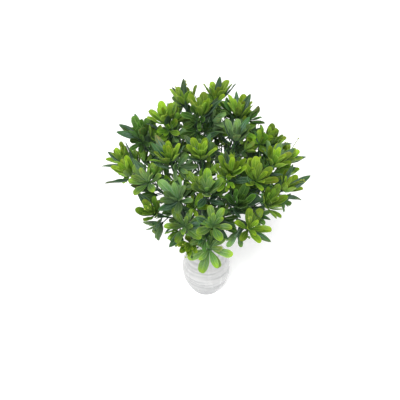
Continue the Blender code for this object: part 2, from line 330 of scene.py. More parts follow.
@dataclass(frozen=True)
class StemFinish:
    """Moulded plastic over wire, with lengthwise flow lines and a paler tone at the growing end."""

    name: str
    old: Colour
    young: Colour
    scar: Colour

    @cache
    def material(self) -> bpy.types.Material:
        """Make the material once."""
        recipe = Recipe(self.name)
        along, around, _ = recipe.mark("leaf_place")
        hue, light, _ = recipe.mark("leaf_tone")
        cloud = recipe.noise(160.0)
        grain = recipe.noise(1100.0, 2.0)
        flow = ((around * (14.0 * math.pi)).sine() * 0.5 + 0.5) * 0.6 + grain * 0.4
        colour = recipe.mix(self.old, self.young, along.ramp(0.25, 1.0))
        colour = recipe.mix(colour, self.scar, cloud.ramp(0.58, 0.72) * 0.5)
        colour = recipe.mix(colour, self.young, flow.ramp(0.6, 1.0) * 0.18)
        shade = {"Hue": 0.49 + hue * 0.02, "Value": 0.8 + light * 0.4, "Color": colour}
        colour = recipe.node("ShaderNodeHueSaturation", None, shade)
        height = flow * 0.7 + cloud * 0.3
        return recipe.dress(colour, 0.42 + grain * 0.2, height, 0.0003, 0.5, specular=0.25)


@dataclass(frozen=True)
class GlazeFinish:
    """White tin glaze, thin and warm on the ribs, with rare pinholes. It is grey in the grooves from painted
    shade and partly from thick glaze, and grey on the inside wall and towards the foot from painted shade.
    """

    name: str
    glaze: Colour
    # The foot colour is painted shade: the glaze greys towards the bottom.
    foot: Colour
    # The pooled grey is painted shade in the grooves, partly thick glaze, and painted shade on the inside
    # wall.
    pooled_and_shade: Colour
    thin: Colour
    speck: Colour

    @cache
    def material(self) -> bpy.types.Material:
        """Make the material once."""
        recipe = Recipe(self.name)
        groove, inside, bare = recipe.mark("thrown")
        place = recipe.node("ShaderNodeTexCoord", output="Object")
        height = recipe.node("ShaderNodeSeparateXYZ", None, {"Vector": place}, output=2)
        cloud = recipe.noise(45.0)
        streak = recipe.noise(90.0, 4.0, (1.0, 1.0, 0.25))
        grain = recipe.noise(700.0, 2.0)
        # Painted shade: the glaze darkens towards the foot.
        colour = recipe.mix(self.glaze, self.foot, height.ramp(0.062, 0.006))
        # Painted shade in the grooves, partly thick pooled glaze.
        groove_shade_and_pooling = (groove.ramp(0.15, 0.9) * 0.8 + cloud * 0.15).clamped()
        colour = recipe.mix(colour, self.pooled_and_shade, groove_shade_and_pooling, "MULTIPLY")
        colour = recipe.mix(colour, self.thin, groove.ramp(0.25, 0.0) * streak.ramp(0.45, 0.7) * 0.5)
        colour = recipe.mix(colour, self.speck, grain.ramp(0.74, 0.80) * 0.35)
        # Painted shade on the inside wall.
        colour = recipe.mix(colour, self.pooled_and_shade, inside * 0.5, "MULTIPLY")
        colour = recipe.mix(colour, self.thin, bare * 0.8)
        roughness = 0.20 + streak * 0.10 + bare * 0.4 + grain * 0.04
        return recipe.dress(colour, roughness, streak * 0.6 + cloud * 0.4, 0.0006, 0.35, coat=0.35)


@dataclass(frozen=True)
class WireFinish:
    """Drawn steel wire, dulled in patches."""

    name: str
    steel: Colour
    dull: Colour

    @cache
    def material(self) -> bpy.types.Material:
        """Make the material once."""
        recipe = Recipe(self.name)
        drawn = recipe.noise(1500.0, 3.0, (1.0, 1.0, 0.02))
        cloud = recipe.noise(220.0)
        colour = recipe.mix(self.steel, self.dull, cloud.ramp(0.45, 0.65))
        return recipe.dress(colour, 0.28 + drawn * 0.25, drawn, 0.0001, 0.4, metallic=1.0)


@dataclass(frozen=True)
class FloorFinish:
    """A plain pale floor with a slight glow of its own, like a light table."""

    name: str
    colour: Colour
    glow: float = 0.22

    @cache
    def material(self) -> bpy.types.Material:
        """Make the material once."""
        recipe = Recipe(self.name)
        grain = recipe.noise(40.0)
        colour = recipe.mix(self.colour, (0.93, 0.93, 0.93), grain * 0.3)
        recipe.shader.inputs["Emission Color"].default_value = (1.0, 1.0, 1.0, 1.0)
        recipe.shader.inputs["Emission Strength"].default_value = self.glow
        return recipe.dress(colour, 0.7 + grain * 0.1, grain, 0.0002, 0.1)


class Tone(Enum):
    """The greens that the leaves are moulded in."""

    BRIGHT = LeafFinish(
        "leaf_bright",
        foot=(0.034, 0.105, 0.014),
        blade=(0.130, 0.275, 0.012),
        tip=(0.260, 0.410, 0.010),
        margin=(0.360, 0.530, 0.070),
        under=(0.120, 0.250, 0.035),
        bloom=(0.145, 0.265, 0.055),
        bloom_share=0.35,
    )
    FRESH = LeafFinish(
        "leaf_fresh",
        foot=(0.020, 0.068, 0.010),
        blade=(0.075, 0.190, 0.010),
        tip=(0.190, 0.350, 0.016),
        margin=(0.280, 0.450, 0.055),
        under=(0.085, 0.190, 0.030),
        bloom=(0.120, 0.230, 0.060),
        bloom_share=0.40,
    )
    DEEP = LeafFinish(
        "leaf_deep",
        foot=(0.009, 0.034, 0.007),
        blade=(0.028, 0.090, 0.008),
        tip=(0.070, 0.180, 0.014),
        margin=(0.150, 0.290, 0.060),
        under=(0.050, 0.130, 0.030),
        bloom=(0.085, 0.170, 0.060),
        bloom_share=0.40,
    )
    DULL = LeafFinish(
        "leaf_dull",
        foot=(0.040, 0.115, 0.035),
        blade=(0.080, 0.185, 0.045),
        tip=(0.150, 0.280, 0.050),
        margin=(0.240, 0.360, 0.130),
        under=(0.090, 0.180, 0.070),
        bloom=(0.170, 0.260, 0.160),
        bloom_share=0.70,
    )
    FADED = LeafFinish(
        "leaf_faded",
        foot=(0.070, 0.155, 0.058),
        blade=(0.090, 0.215, 0.028),
        tip=(0.220, 0.380, 0.015),
        margin=(0.320, 0.470, 0.120),
        under=(0.095, 0.200, 0.055),
        bloom=(0.155, 0.255, 0.140),
        bloom_share=0.65,
    )
    LANCE = LeafFinish(
        "leaf_lance",
        foot=(0.008, 0.030, 0.010),
        blade=(0.017, 0.060, 0.020),
        tip=(0.045, 0.125, 0.028),
        margin=(0.120, 0.220, 0.090),
        under=(0.060, 0.125, 0.065),
        bloom=(0.135, 0.215, 0.165),
        bloom_share=0.90,
        side_veins=11.0,
    )


STEM = StemFinish(
    "stem_moulded",
    old=(0.012, 0.038, 0.012),
    young=(0.045, 0.125, 0.034),
    scar=(0.050, 0.060, 0.024),
)
THREAD = StemFinish(
    "thread_moulded",
    old=(0.150, 0.260, 0.030),
    young=(0.360, 0.450, 0.050),
    scar=(0.250, 0.240, 0.04),
)
GLAZE = GlazeFinish(
    "vase_glaze",
    glaze=(0.565, 0.565, 0.562),
    # Grey of the painted shade towards the foot.
    foot=(0.430, 0.432, 0.435),
    # Grey of the painted shade in the grooves and on the inside wall.
    pooled_and_shade=(0.760, 0.766, 0.772),
    thin=(0.680, 0.677, 0.668),
    speck=(0.46, 0.44, 0.41),
)
WIRE = WireFinish("steel_wire", steel=(0.56, 0.57, 0.58), dull=(0.34, 0.35, 0.36))
FLOOR = FloorFinish("floor", colour=(0.90, 0.90, 0.90))


@cache
def tube_faces(rings: int, sides: int) -> tuple[tuple[int, ...], ...]:
    """Faces of a stack of rings of points, closed at both ends."""
    last = (rings - 1) * sides
    return (*band_faces(rings, sides), tuple(range(sides))[::-1], tuple(range(last, last + sides)))


@cache
def band_faces(rings: int, sides: int) -> tuple[tuple[int, ...], ...]:
    """Faces between each ring of a stack of rings of points and the next."""
    return tuple(
        (r * sides + s, r * sides + (s + 1) % sides, (r + 1) * sides + (s + 1) % sides, (r + 1) * sides + s)
        for r in range(rings - 1)
        for s in range(sides)
    )


def unit_ring(sides: int) -> np.ndarray:
    """Points round a flat circle of radius 1."""
    turn = 2.0 * np.pi * np.arange(sides) / sides
    return np.stack([np.cos(turn), np.sin(turn), turn * 0.0], 1)


def ring_marks(share: np.ndarray, sides: int) -> np.ndarray:
    """The leaf_place marks of a stack of rings: share along it, share round it, upper side."""
    along = np.repeat(share, sides)
    around = np.tile(np.arange(sides) / sides, len(share))
    return np.stack([along, around, along * 0.0 + 1.0], 1)


def set_mark(mesh: bpy.types.Mesh, name: str, values: Sequence[np.ndarray]) -> None:
    """Give each point of a mesh three numbers under a name."""
    made = mesh.attributes.new(name, "FLOAT_VECTOR", "POINT")
    made.data.foreach_set("vector", np.concatenate(values).astype(np.float32).ravel())


class Moulding:
    """The points, faces and marks of one piece while it is being shaped."""

    def __init__(self) -> None:
        """Start empty."""
        self.points: list[np.ndarray] = []
        self.places: list[np.ndarray] = []
        self.tones: list[np.ndarray] = []
        self.faces: list[Sequence[int]] = []
        self.slots: list[int] = []
        self.count = 0

    def add(
        self, points: np.ndarray, places: np.ndarray, faces: Sequence, tone: Colour, slot: int = 0
    ) -> None:
        """Add one closed shape.

        Args:
            points: its points.
            places: the leaf_place mark of each point.
            faces: its faces, as indices into the points.
            tone: the leaf_tone mark of all its points.
            slot: the material slot of its faces.
        """
        self.points.append(points)
        self.places.append(places)
        self.tones.append(np.tile(np.array(tone), (len(points), 1)))
        self.faces.extend([[i + self.count for i in face] for face in faces])
        self.slots.extend([slot] * len(faces))
        self.count += len(points)

    def tube(self, line: np.ndarray, radii: np.ndarray, tone: Colour, slot: int = 0, sides: int = 8) -> None:
        """Add a round stalk along a line, closed at both ends.

        Args:
            line: the points of its centre line.
            radii: its radius at each of them.
            tone: the leaf_tone mark.
            slot: the material slot.
            sides: the number of sides.
        """
        tangents = np.gradient(line, axis=0)
        tangents /= np.linalg.norm(tangents, axis=1)[:, None]
        aside = np.cross(tangents[0], (0.31, 0.52, 0.79))
        rings = []
        for centre, along, radius in zip(line, tangents, radii):
            aside = aside - along * (aside @ along)
            aside /= np.linalg.norm(aside)
            turn = 2.0 * np.pi * np.arange(sides) / sides
            ring = np.outer(np.cos(turn), aside) + np.outer(np.sin(turn), np.cross(along, aside))
            rings.append(centre + ring * radius)
        marks = ring_marks(np.linspace(0.0, 1.0, len(line)), sides)
        self.add(np.concatenate(rings), marks, tube_faces(len(line), sides), tone, slot)

    def piece(
        self, name: str, body: str, slot: str, finishes: Sequence[bpy.types.Material], *nodes: str
    ) -> None:
        """Turn the shapes into one piece.

        Args:
            name: the piece's name.
            body: the body it rides on.
            slot: the record's material slot; not used.
            finishes: its materials.
            nodes: the nodes it stands for.
        """
        mesh = bpy.data.meshes.new(name)
        mesh.from_pydata(np.concatenate(self.points).tolist(), [], self.faces)
        set_mark(mesh, "leaf_place", self.places)
        set_mark(mesh, "leaf_tone", self.tones)
        mesh.polygons.foreach_set("material_index", self.slots)
        show(name, mesh, body, slot, finishes, *nodes)


def show(
    name: str, mesh: bpy.types.Mesh, body: str, slot: str, finishes: Sequence[bpy.types.Material], *nodes: str
) -> None:
    """Put a finished mesh in the scene as a piece that rides on a body.

    Args:
        name: the piece's name.
        mesh: its mesh, in the row frame.
        body: the body it rides on.
        slot: the record's material slot; not used.
        finishes: its materials.
        nodes: the nodes it stands for.
    """
    mesh.validate()
    mesh.shade_smooth()
    mesh.set_sharp_from_angle(angle=SHARP_ANGLE)
    for finish in finishes:
        mesh.materials.append(finish)
    obj = bpy.data.objects.new(name, mesh)
    bpy.context.scene.collection.objects.link(obj)
    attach(obj, body)
    if nodes:
        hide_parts(*nodes)
    LOG.info("%s: %d faces on %s", name, len(mesh.polygons), body)


@dataclass(frozen=True)
class LeafShape:
    """One moulded leaf: a thin dished blade on a narrow foot, with a pressed midrib."""

    length: float
    width: float
    widest: float
    blunt: float
    stalk: float
    dish: float
    thickness: float = 0.0009
    foot_thickness: float = 1.3
    thinning: float = 0.6
    edge_thinning: float = 0.55
    pleat: float = 0.10
    pleat_end: float = 1.9
    notch: float = 0.10
    notch_start: float = 0.55
    notch_pace: float = 34.0
    notch_slant: float = 1.7
    wave_pace: float = 11.0
    wave_stray: float = 60.0
    tip: float = 0.10
    spans: int = 15
    crowding: float = 1.6
    spine_steps: int = 60
    across: tuple[float, ...] = (-1.0, -0.70, -0.36, -0.12, 0.0, 0.12, 0.36, 0.70, 1.0)

    def half_widths(self, along: np.ndarray) -> np.ndarray:
        """Half the blade's width at shares of its length."""
        rising = np.clip(along / self.widest, 0.0, 1.0)
        flare = self.stalk + (1.0 - self.stalk) * rising**1.6 * (2.6 - 1.6 * rising)
        past = np.clip((along - self.widest) / (1.0 - self.widest), 0.0, 1.0)
        end = np.maximum(1.0 - past**self.blunt, 0.0) ** (1.0 / self.blunt)
        return 0.5 * self.width * flare * np.maximum(end, self.tip)

    def add_to(
        self,
        moulding: Moulding,
        place: Matrix,
        rises: Sequence[float],
        tone: Colour,
        size: float = 1.0,
        twist: float = 0.0,
        wave: float = 0.0,
        slot: int = 0,
    ) -> None:
        """Mould one leaf.

        Args:
            moulding: the piece it belongs to.
            place: its foot, with +X pointing out and +Z along what it grows on.
            rises: the slope of its spine in degrees, at even steps from foot to tip.
            tone: its leaf_tone mark.
            size: scale.
            twist: turn of the blade about its spine, in degrees at the tip.
            wave: height of the wave along its margin, as a share of its half width.
            slot: the material slot of its faces.
        """
        row = 1.0 - (1.0 - np.arange(self.spans + 1) / self.spans) ** self.crowding
        col = np.array(self.across)
        spine, slope = self._spine(row, rises)
        face = np.stack([-np.sin(slope), row * 0.0, np.cos(slope)], 1)
        side = np.tile((0.0, 1.0, 0.0), (len(row), 1))
        turn = (np.radians(twist) * row)[:, None]
        face, side = face * np.cos(turn) - side * np.sin(turn), side * np.cos(turn) + face * np.sin(turn)
        half = self.half_widths(row)
        out = half[:, None] * col * self._notches(row[:, None], col, twist)
        lift = self._lift(row, col, half, wave)
        taper = np.outer(self.foot_thickness - self.thinning * row, 1.0 - self.edge_thinning * col**2)
        sheet = spine[:, None, :] + side[:, None, :] * out[:, :, None]
        halves = [
            sheet + face[:, None, :] * (lift + sign * 0.5 * self.thickness * taper)[:, :, None]
            for sign in (1.0, -1.0)
        ]
        matrix = np.array(place)
        points = np.concatenate([half_sheet.reshape(-1, 3) for half_sheet in halves]) * size
        points = points @ matrix[:3, :3].T + matrix[:3, 3]
        grid = np.stack([np.repeat(row, len(col)), np.tile(col, len(row))], 1)
        marks = np.column_stack([np.tile(grid, (2, 1)), np.repeat((1.0, 0.0), len(grid))])
        moulding.add(points, marks, sheet_faces(len(row), len(col)), tone, slot)

    def _spine(self, row: np.ndarray, rises: Sequence[float]) -> tuple[np.ndarray, np.ndarray]:
        """The spine's points and its slopes in radians, at shares of its length."""
        fine = np.linspace(0.0, 1.0, self.spine_steps + 1)
        slopes = np.interp(fine, np.linspace(0.0, 1.0, len(rises)), np.radians(rises))
        run, climb = (
            np.concatenate([[0.0], np.cumsum(part[1:] + part[:-1])]) * 0.5 / self.spine_steps
            for part in (np.cos(slopes), np.sin(slopes))
        )
        points = np.stack([np.interp(row, fine, run), row * 0.0, np.interp(row, fine, climb)], 1)
        return points * self.length, np.interp(row, fine, slopes)

    def _notches(self, row: np.ndarray, col: np.ndarray, start: float) -> np.ndarray:
        """Share of its width that the blade keeps where its upper margin is notched."""
        ragged = self.notch * np.clip((row - self.notch_start) * 3.0, 0.0, 1.0) * (1.0 - row**8)
        return 1.0 - ragged * (0.5 + 0.5 * np.sin(row * self.notch_pace + col * self.notch_slant + start))

    def _lift(self, row: np.ndarray, col: np.ndarray, half: np.ndarray, wave: float) -> np.ndarray:
        """How far the blade stands above its spine: its dish, the wave of its margin and its pleats."""
        ripple = np.sin(row * self.wave_pace + wave * self.wave_stray)
        pressed = np.clip(self.pleat_end * (1.0 - row), 0.0, 1.0)
        lift = self.dish * np.outer(half, col**2) + wave * np.outer(half * ripple, col**3)
        return lift - self.pleat * np.outer(half * pressed, np.cos(3.0 * np.pi * col))


@cache
def sheet_faces(rows: int, cols: int) -> tuple[tuple[int, ...], ...]:
    """Faces of a thin sheet of two grids of points, the upper first, joined round the rim."""
    size = rows * cols
    cells = [(r * cols + c, (r + 1) * cols + c) for r in range(rows - 1) for c in range(cols - 1)]
    upper = [(a, b, b + 1, a + 1) for a, b in cells]
    lower = [tuple(i + size for i in reversed(face)) for face in upper]
    rim = [r * cols for r in range(rows)]
    rim += [(rows - 1) * cols + c for c in range(1, cols)]
    rim += [r * cols + cols - 1 for r in range(rows - 2, -1, -1)]
    rim += [c for c in range(cols - 2, 0, -1)]
    edge = [(a, a + size, b + size, b) for a, b in zip(rim, rim[1:] + rim[:1])]
    return tuple(upper + lower + edge)


BROAD = LeafShape(length=0.0315, width=0.0130, widest=0.70, blunt=2.3, stalk=0.18, dish=0.26)
PADDLE = LeafShape(length=0.0305, width=0.0118, widest=0.68, blunt=2.2, stalk=0.20, dish=0.30)
SPOON = LeafShape(length=0.0235, width=0.0084, widest=0.66, blunt=2.0, stalk=0.24, dish=0.34, spans=12)
LANCE = LeafShape(
    length=0.0400, width=0.0104, widest=0.54, blunt=1.55, stalk=0.16, dish=0.22, notch=0.0, tip=0.06
)


@dataclass(frozen=True)
class Whorl:
    """One ring of leaves on a hub: their shape, number, slopes from foot to tip and place on the hub."""

    shape: LeafShape
    count: int
    rises: tuple[float, ...]
    height: float
    offset: float
    stray: float = 9.0


class Habit(Enum):
    """How a rosette holds its leaves, outer whorl first."""

    CUP = (
        Whorl(PADDLE, 6, (22.0, 54.0, 64.0, 58.0), 0.0022, 0.0016),
        Whorl(SPOON, 5, (48.0, 70.0, 74.0, 66.0), 0.0044, 0.0009),
    )
    OPEN = (
        Whorl(PADDLE, 6, (12.0, 38.0, 42.0, 28.0), 0.0022, 0.0016, 13.0),
        Whorl(SPOON, 5, (36.0, 60.0, 62.0, 48.0), 0.0044, 0.0009, 12.0),
    )
    SPREAD = (
        Whorl(BROAD, 7, (6.0, 22.0, 18.0, 2.0), 0.0022, 0.0016, 5.0),
        Whorl(SPOON, 4, (30.0, 50.0, 46.0, 32.0), 0.0044, 0.0009, 12.0),
    )
    TUFT = (
        Whorl(PADDLE, 5, (18.0, 46.0, 54.0, 44.0), 0.0022, 0.0016, 15.0),
        Whorl(SPOON, 2, (56.0, 72.0, 74.0, 66.0), 0.0044, 0.0009, 12.0),
    )


@dataclass(frozen=True)
class Trait:
    """What one rosette looks like.

    The blades are the azimuth, lean and size of the long leaves beside it, and sprig those of a long sprig
    below it. Lift is how far it turns upright, and turn the direction of its first leaf.
    """

    tone: Tone
    habit: Habit = Habit.CUP
    threads: int = 0
    size: float = 1.0
    blades: tuple[tuple[float, float, float], ...] = ()
    lift: float = 0.40
    sprig: tuple[float, float] | None = None
    turn: float | None = None


def chance_tone(draw: random.Random) -> Colour:
    """A leaf's own hue, lightness and wear."""
    return draw.random(), draw.random(), draw.random()


@dataclass
class Rosette:
    """A hub with an outer and an inner whorl of dished leaves, and threads with beads at their ends."""

    trait: Trait
    place: Matrix
    draw: random.Random
    slot: int = 0
    hub_radius: float = 0.0023
    hub_heights: tuple[float, ...] = (-0.0012, -0.0004, 0.0008, 0.0030, 0.0048, 0.0062)
    hub_swell: tuple[float, ...] = (0.60, 0.78, 0.86, 0.98, 0.90, 0.45)
    stagger: float = 0.5
    thread_lengths: tuple[float, float] = (0.029, 0.037)
    thread_leans: tuple[float, float] = (6.0, 24.0)
    thread_start: float = 0.004
    thread_radii: tuple[float, float] = (0.00055, 0.00042)
    thread_spans: int = 8
    bead_radius: float = 0.0012
    bead_steps: tuple[float, ...] = (0.2, 0.6, 1.0, 1.4, 1.8)
    bead_swell: tuple[float, ...] = (0.6, 0.92, 1.0, 0.92, 0.5)

    def mould(self, moulding: Moulding) -> None:
        """Shape the rosette in a piece whose second slot is the threads' and third the stem's finish."""
        draw, trait = self.draw, self.trait
        line = self._placed(np.outer(self.hub_heights, (0.0, 0.0, trait.size)))
        radii = np.array(self.hub_swell) * self.hub_radius * trait.size
        moulding.tube(line, radii, chance_tone(draw), slot=2, sides=12)
        start = draw.uniform(0.0, math.tau) if trait.turn is None else math.radians(trait.turn) - self.stagger
        for whorl in trait.habit.value:
            start += self.stagger
            for i in range(whorl.count):
                self._leaf(moulding, whorl, start + math.tau * i / whorl.count + draw.uniform(-0.2, 0.2))
        for _ in range(trait.threads):
            self._thread(moulding)

    def _placed(self, points: np.ndarray) -> np.ndarray:
        """Points of the rosette, moved to its place."""
        matrix = np.array(self.place)
        return points @ matrix[:3, :3].T + matrix[:3, 3]

    def _leaf(self, moulding: Moulding, whorl: Whorl, turn: float) -> None:
        """Mould one leaf of a whorl.

        Args:
            moulding: the piece.
            whorl: the whorl.
            turn: the leaf's direction round the axis, in radians.
        """
        draw = self.draw
        stray = draw.uniform(-whorl.stray, whorl.stray)
        bend = draw.uniform(-14.0, 14.0)
        slopes = [rise + stray * (0.4 + 0.3 * i) + bend * i / 3.0 for i, rise in enumerate(whorl.rises)]
        size = self.trait.size
        foot = Matrix.Translation((whorl.offset * size, 0.0, whorl.height * size))
        whorl.shape.add_to(
            moulding,
            self.place @ Matrix.Rotation(turn, 4, "Z") @ foot,
            slopes,
            chance_tone(draw),
            size=size * draw.uniform(0.80, 1.08),
            twist=draw.uniform(-22.0, 22.0),
            wave=draw.uniform(-0.14, 0.14),
            slot=self.slot,
        )

    def _thread(self, moulding: Moulding) -> None:
        """Mould one thread with a bead on its end."""
        draw = self.draw
        turn = draw.uniform(0.0, math.tau)
        lean = math.radians(draw.uniform(*self.thread_leans))
        length = draw.uniform(*self.thread_lengths) * self.trait.size
        share = np.linspace(0.0, 1.0, self.thread_spans + 1)
        out = math.sin(lean) * length * share**1.5
        rise = self.thread_start + math.cos(lean) * length * share
        line = np.stack([out * math.cos(turn), out * math.sin(turn), rise], 1)
        tail = line[-1] - line[-2]
        tail /= np.linalg.norm(tail)
        line = np.concatenate([line, line[-1] + np.outer(self.bead_steps, tail) * self.bead_radius])
        thread = np.linspace(*self.thread_radii, self.thread_spans + 1)
        radii = np.concatenate([thread, np.array(self.bead_swell) * self.bead_radius])
        moulding.tube(self._placed(line), radii, chance_tone(draw), slot=1)


@dataclass(frozen=True)
class Seat:
    """Where a leaf cluster sits on its peg and the way it faces."""

    point: Vector
    axis: Vector

    @staticmethod
    def of(node: bpy.types.Object) -> Seat:
        """Find the seat from the cluster's own solid, which is the same all round its axis.

        Args:
            node: the cluster's node.

        Returns:
            Its seat.
        """
        points = np.array([vert.co for vert in node.data.vertices], float)
        centre = points.mean(0)
        spreads, axes = np.linalg.eigh(np.cov((points - centre).T))
        odd = 0 if spreads[1] - spreads[0] > spreads[2] - spreads[1] else 2
        axis = axes[:, odd]
        heights = (points - centre) @ axis
        reach = np.linalg.norm(points - centre - np.outer(heights, axis), axis=1)
        if np.corrcoef(heights, reach)[0, 1] < 0.0:
            axis, heights = -axis, -heights
        return Seat(Vector(centre + axis * heights.min()), Vector(axis))

    def matrix(self, lift: float) -> Matrix:
        """Matrix that puts local +Z at the seat along the axis, turned upright by a share."""
        facing = self.axis.lerp(Vector((0.0, 0.0, 1.0)), lift).normalized()
        return Matrix.Translation(self.point) @ facing.to_track_quat("Z", "Y").to_matrix().to_4x4()


@dataclass(frozen=True)
class StemLine:
    """The curve of a stem from where it starts to the foot of its peg."""

    start: Vector
    pull_out: Vector
    pull_in: Vector
    end: Vector

    def point(self, share: float) -> Vector:
        """The point at a share of the curve."""
        rest = 1.0 - share
        return (
            self.start * rest**3
            + self.pull_out * (3.0 * rest * rest * share)
            + self.pull_in * (3.0 * rest * share * share)
            + self.end * share**3
        )

    def tangent(self, share: float) -> Vector:
        """The direction at a share of the curve."""
        rest = 1.0 - share
        slope = (
            (self.pull_out - self.start) * (rest * rest)
            + (self.pull_in - self.pull_out) * (2.0 * rest * share)
            + (self.end - self.pull_in) * (share * share)
        )
        return slope.normalized()

    def matrix(self, share: float, turn: float) -> Matrix:
        """Matrix at a share of the curve, with +Z along it and +X turned round it."""
        along = self.tangent(share).to_track_quat("Z", "Y").to_matrix().to_4x4()
        return Matrix.Translation(self.point(share)) @ along @ Matrix.Rotation(turn, 4, "Z")

    def points(self, spans: int) -> np.ndarray:
        """Even points along the curve."""
        return np.array([self.point(i / spans) for i in range(spans + 1)])


@dataclass
class Crown:
    """Where the heads of all rosettes stand, so that side shoots fill the room between them."""

    heads: list[Vector] = field(default_factory=list)
    head_height: float = 0.012
    middle: Vector = field(default_factory=lambda: Vector((0.0, 0.0, 0.144)))
    lowest: float = 0.212
    top: float = 0.275
    top_depth: float = 0.02
    top_reach: float = 0.10
    low_weight: float = 2.0

    def take(self, place: Matrix, size: float = 1.0) -> None:
        """Note the head of a rosette whose hub is at a place."""
        self.heads.append(place @ Vector((0.0, 0.0, self.head_height * size)))

    def room(self, place: Matrix, reach: float) -> float:
        """Room round a head.

        Args:
            place: the place of its rosette.
            reach: how far from the middle it may stand before that counts against it.

        Returns:
            Distance to the nearest other head, less what it stands too far out or too low. Near the top it
            may stand a little farther out.
        """
        head = place @ Vector((0.0, 0.0, self.head_height))
        nearest = min((head - other).length for other in self.heads)
        reach *= 1.0 + self.top_reach * max(0.0, min(1.0, (head.z - self.top) / self.top_depth))
        too_far = max(0.0, (head - self.middle).length - reach)
        too_low = max(0.0, self.lowest - head.z)
        return nearest - too_far - self.low_weight * too_low

    def roomiest(self, places: Sequence[Matrix], reach: float) -> tuple[Matrix, float]:
        """The place with the most room round it, and that room."""
        rooms = [self.room(place, reach) for place in places]
        return places[rooms.index(max(rooms))], max(rooms)


class Shoots(Enum):
    """Shares along a main stem, and along a twig, at which side shoots may stand."""

    SPARSE = ((0.52, 0.66, 0.78, 0.88, 0.95), (0.48, 0.70, 0.90))
    DENSE = ((0.46, 0.56, 0.65, 0.74, 0.82, 0.90, 0.95), (0.40, 0.58, 0.74, 0.86, 0.94))


# Material slots a side shoot is drawn from: 0 fresh, 3 deep, 4 bright and 5 dull. Inside the crown it is
# mostly deep, partly as painted shade.
INNER_SHADE_SLOTS = (0, 3, 3, 3, 3, 5)
OUTER_SLOTS = (0, 0, 3, 3, 4, 5)


@dataclass(frozen=True)
class Hold:
    """How a narrow leaf is held: its slopes from foot to tip, the stray of the last one, and its size."""

    rises: tuple[float, ...]
    stray: tuple[float, float]
    sizes: tuple[float, float]

    def draw(self, draw: random.Random) -> tuple[float, tuple[float, ...]]:
        """A size and slopes for one leaf."""
        size = draw.uniform(*self.sizes)
        return size, (*self.rises[:-1], self.rises[-1] + draw.uniform(*self.stray))


ALONG_STEM = Hold((18.0, 42.0, 52.0, 46.0), stray=(-20.0, 14.0), sizes=(0.62, 1.04))
AT_TIP = Hold((30.0, 50.0, 56.0, 50.0), stray=(-16.0, 16.0), sizes=(0.92, 1.12))


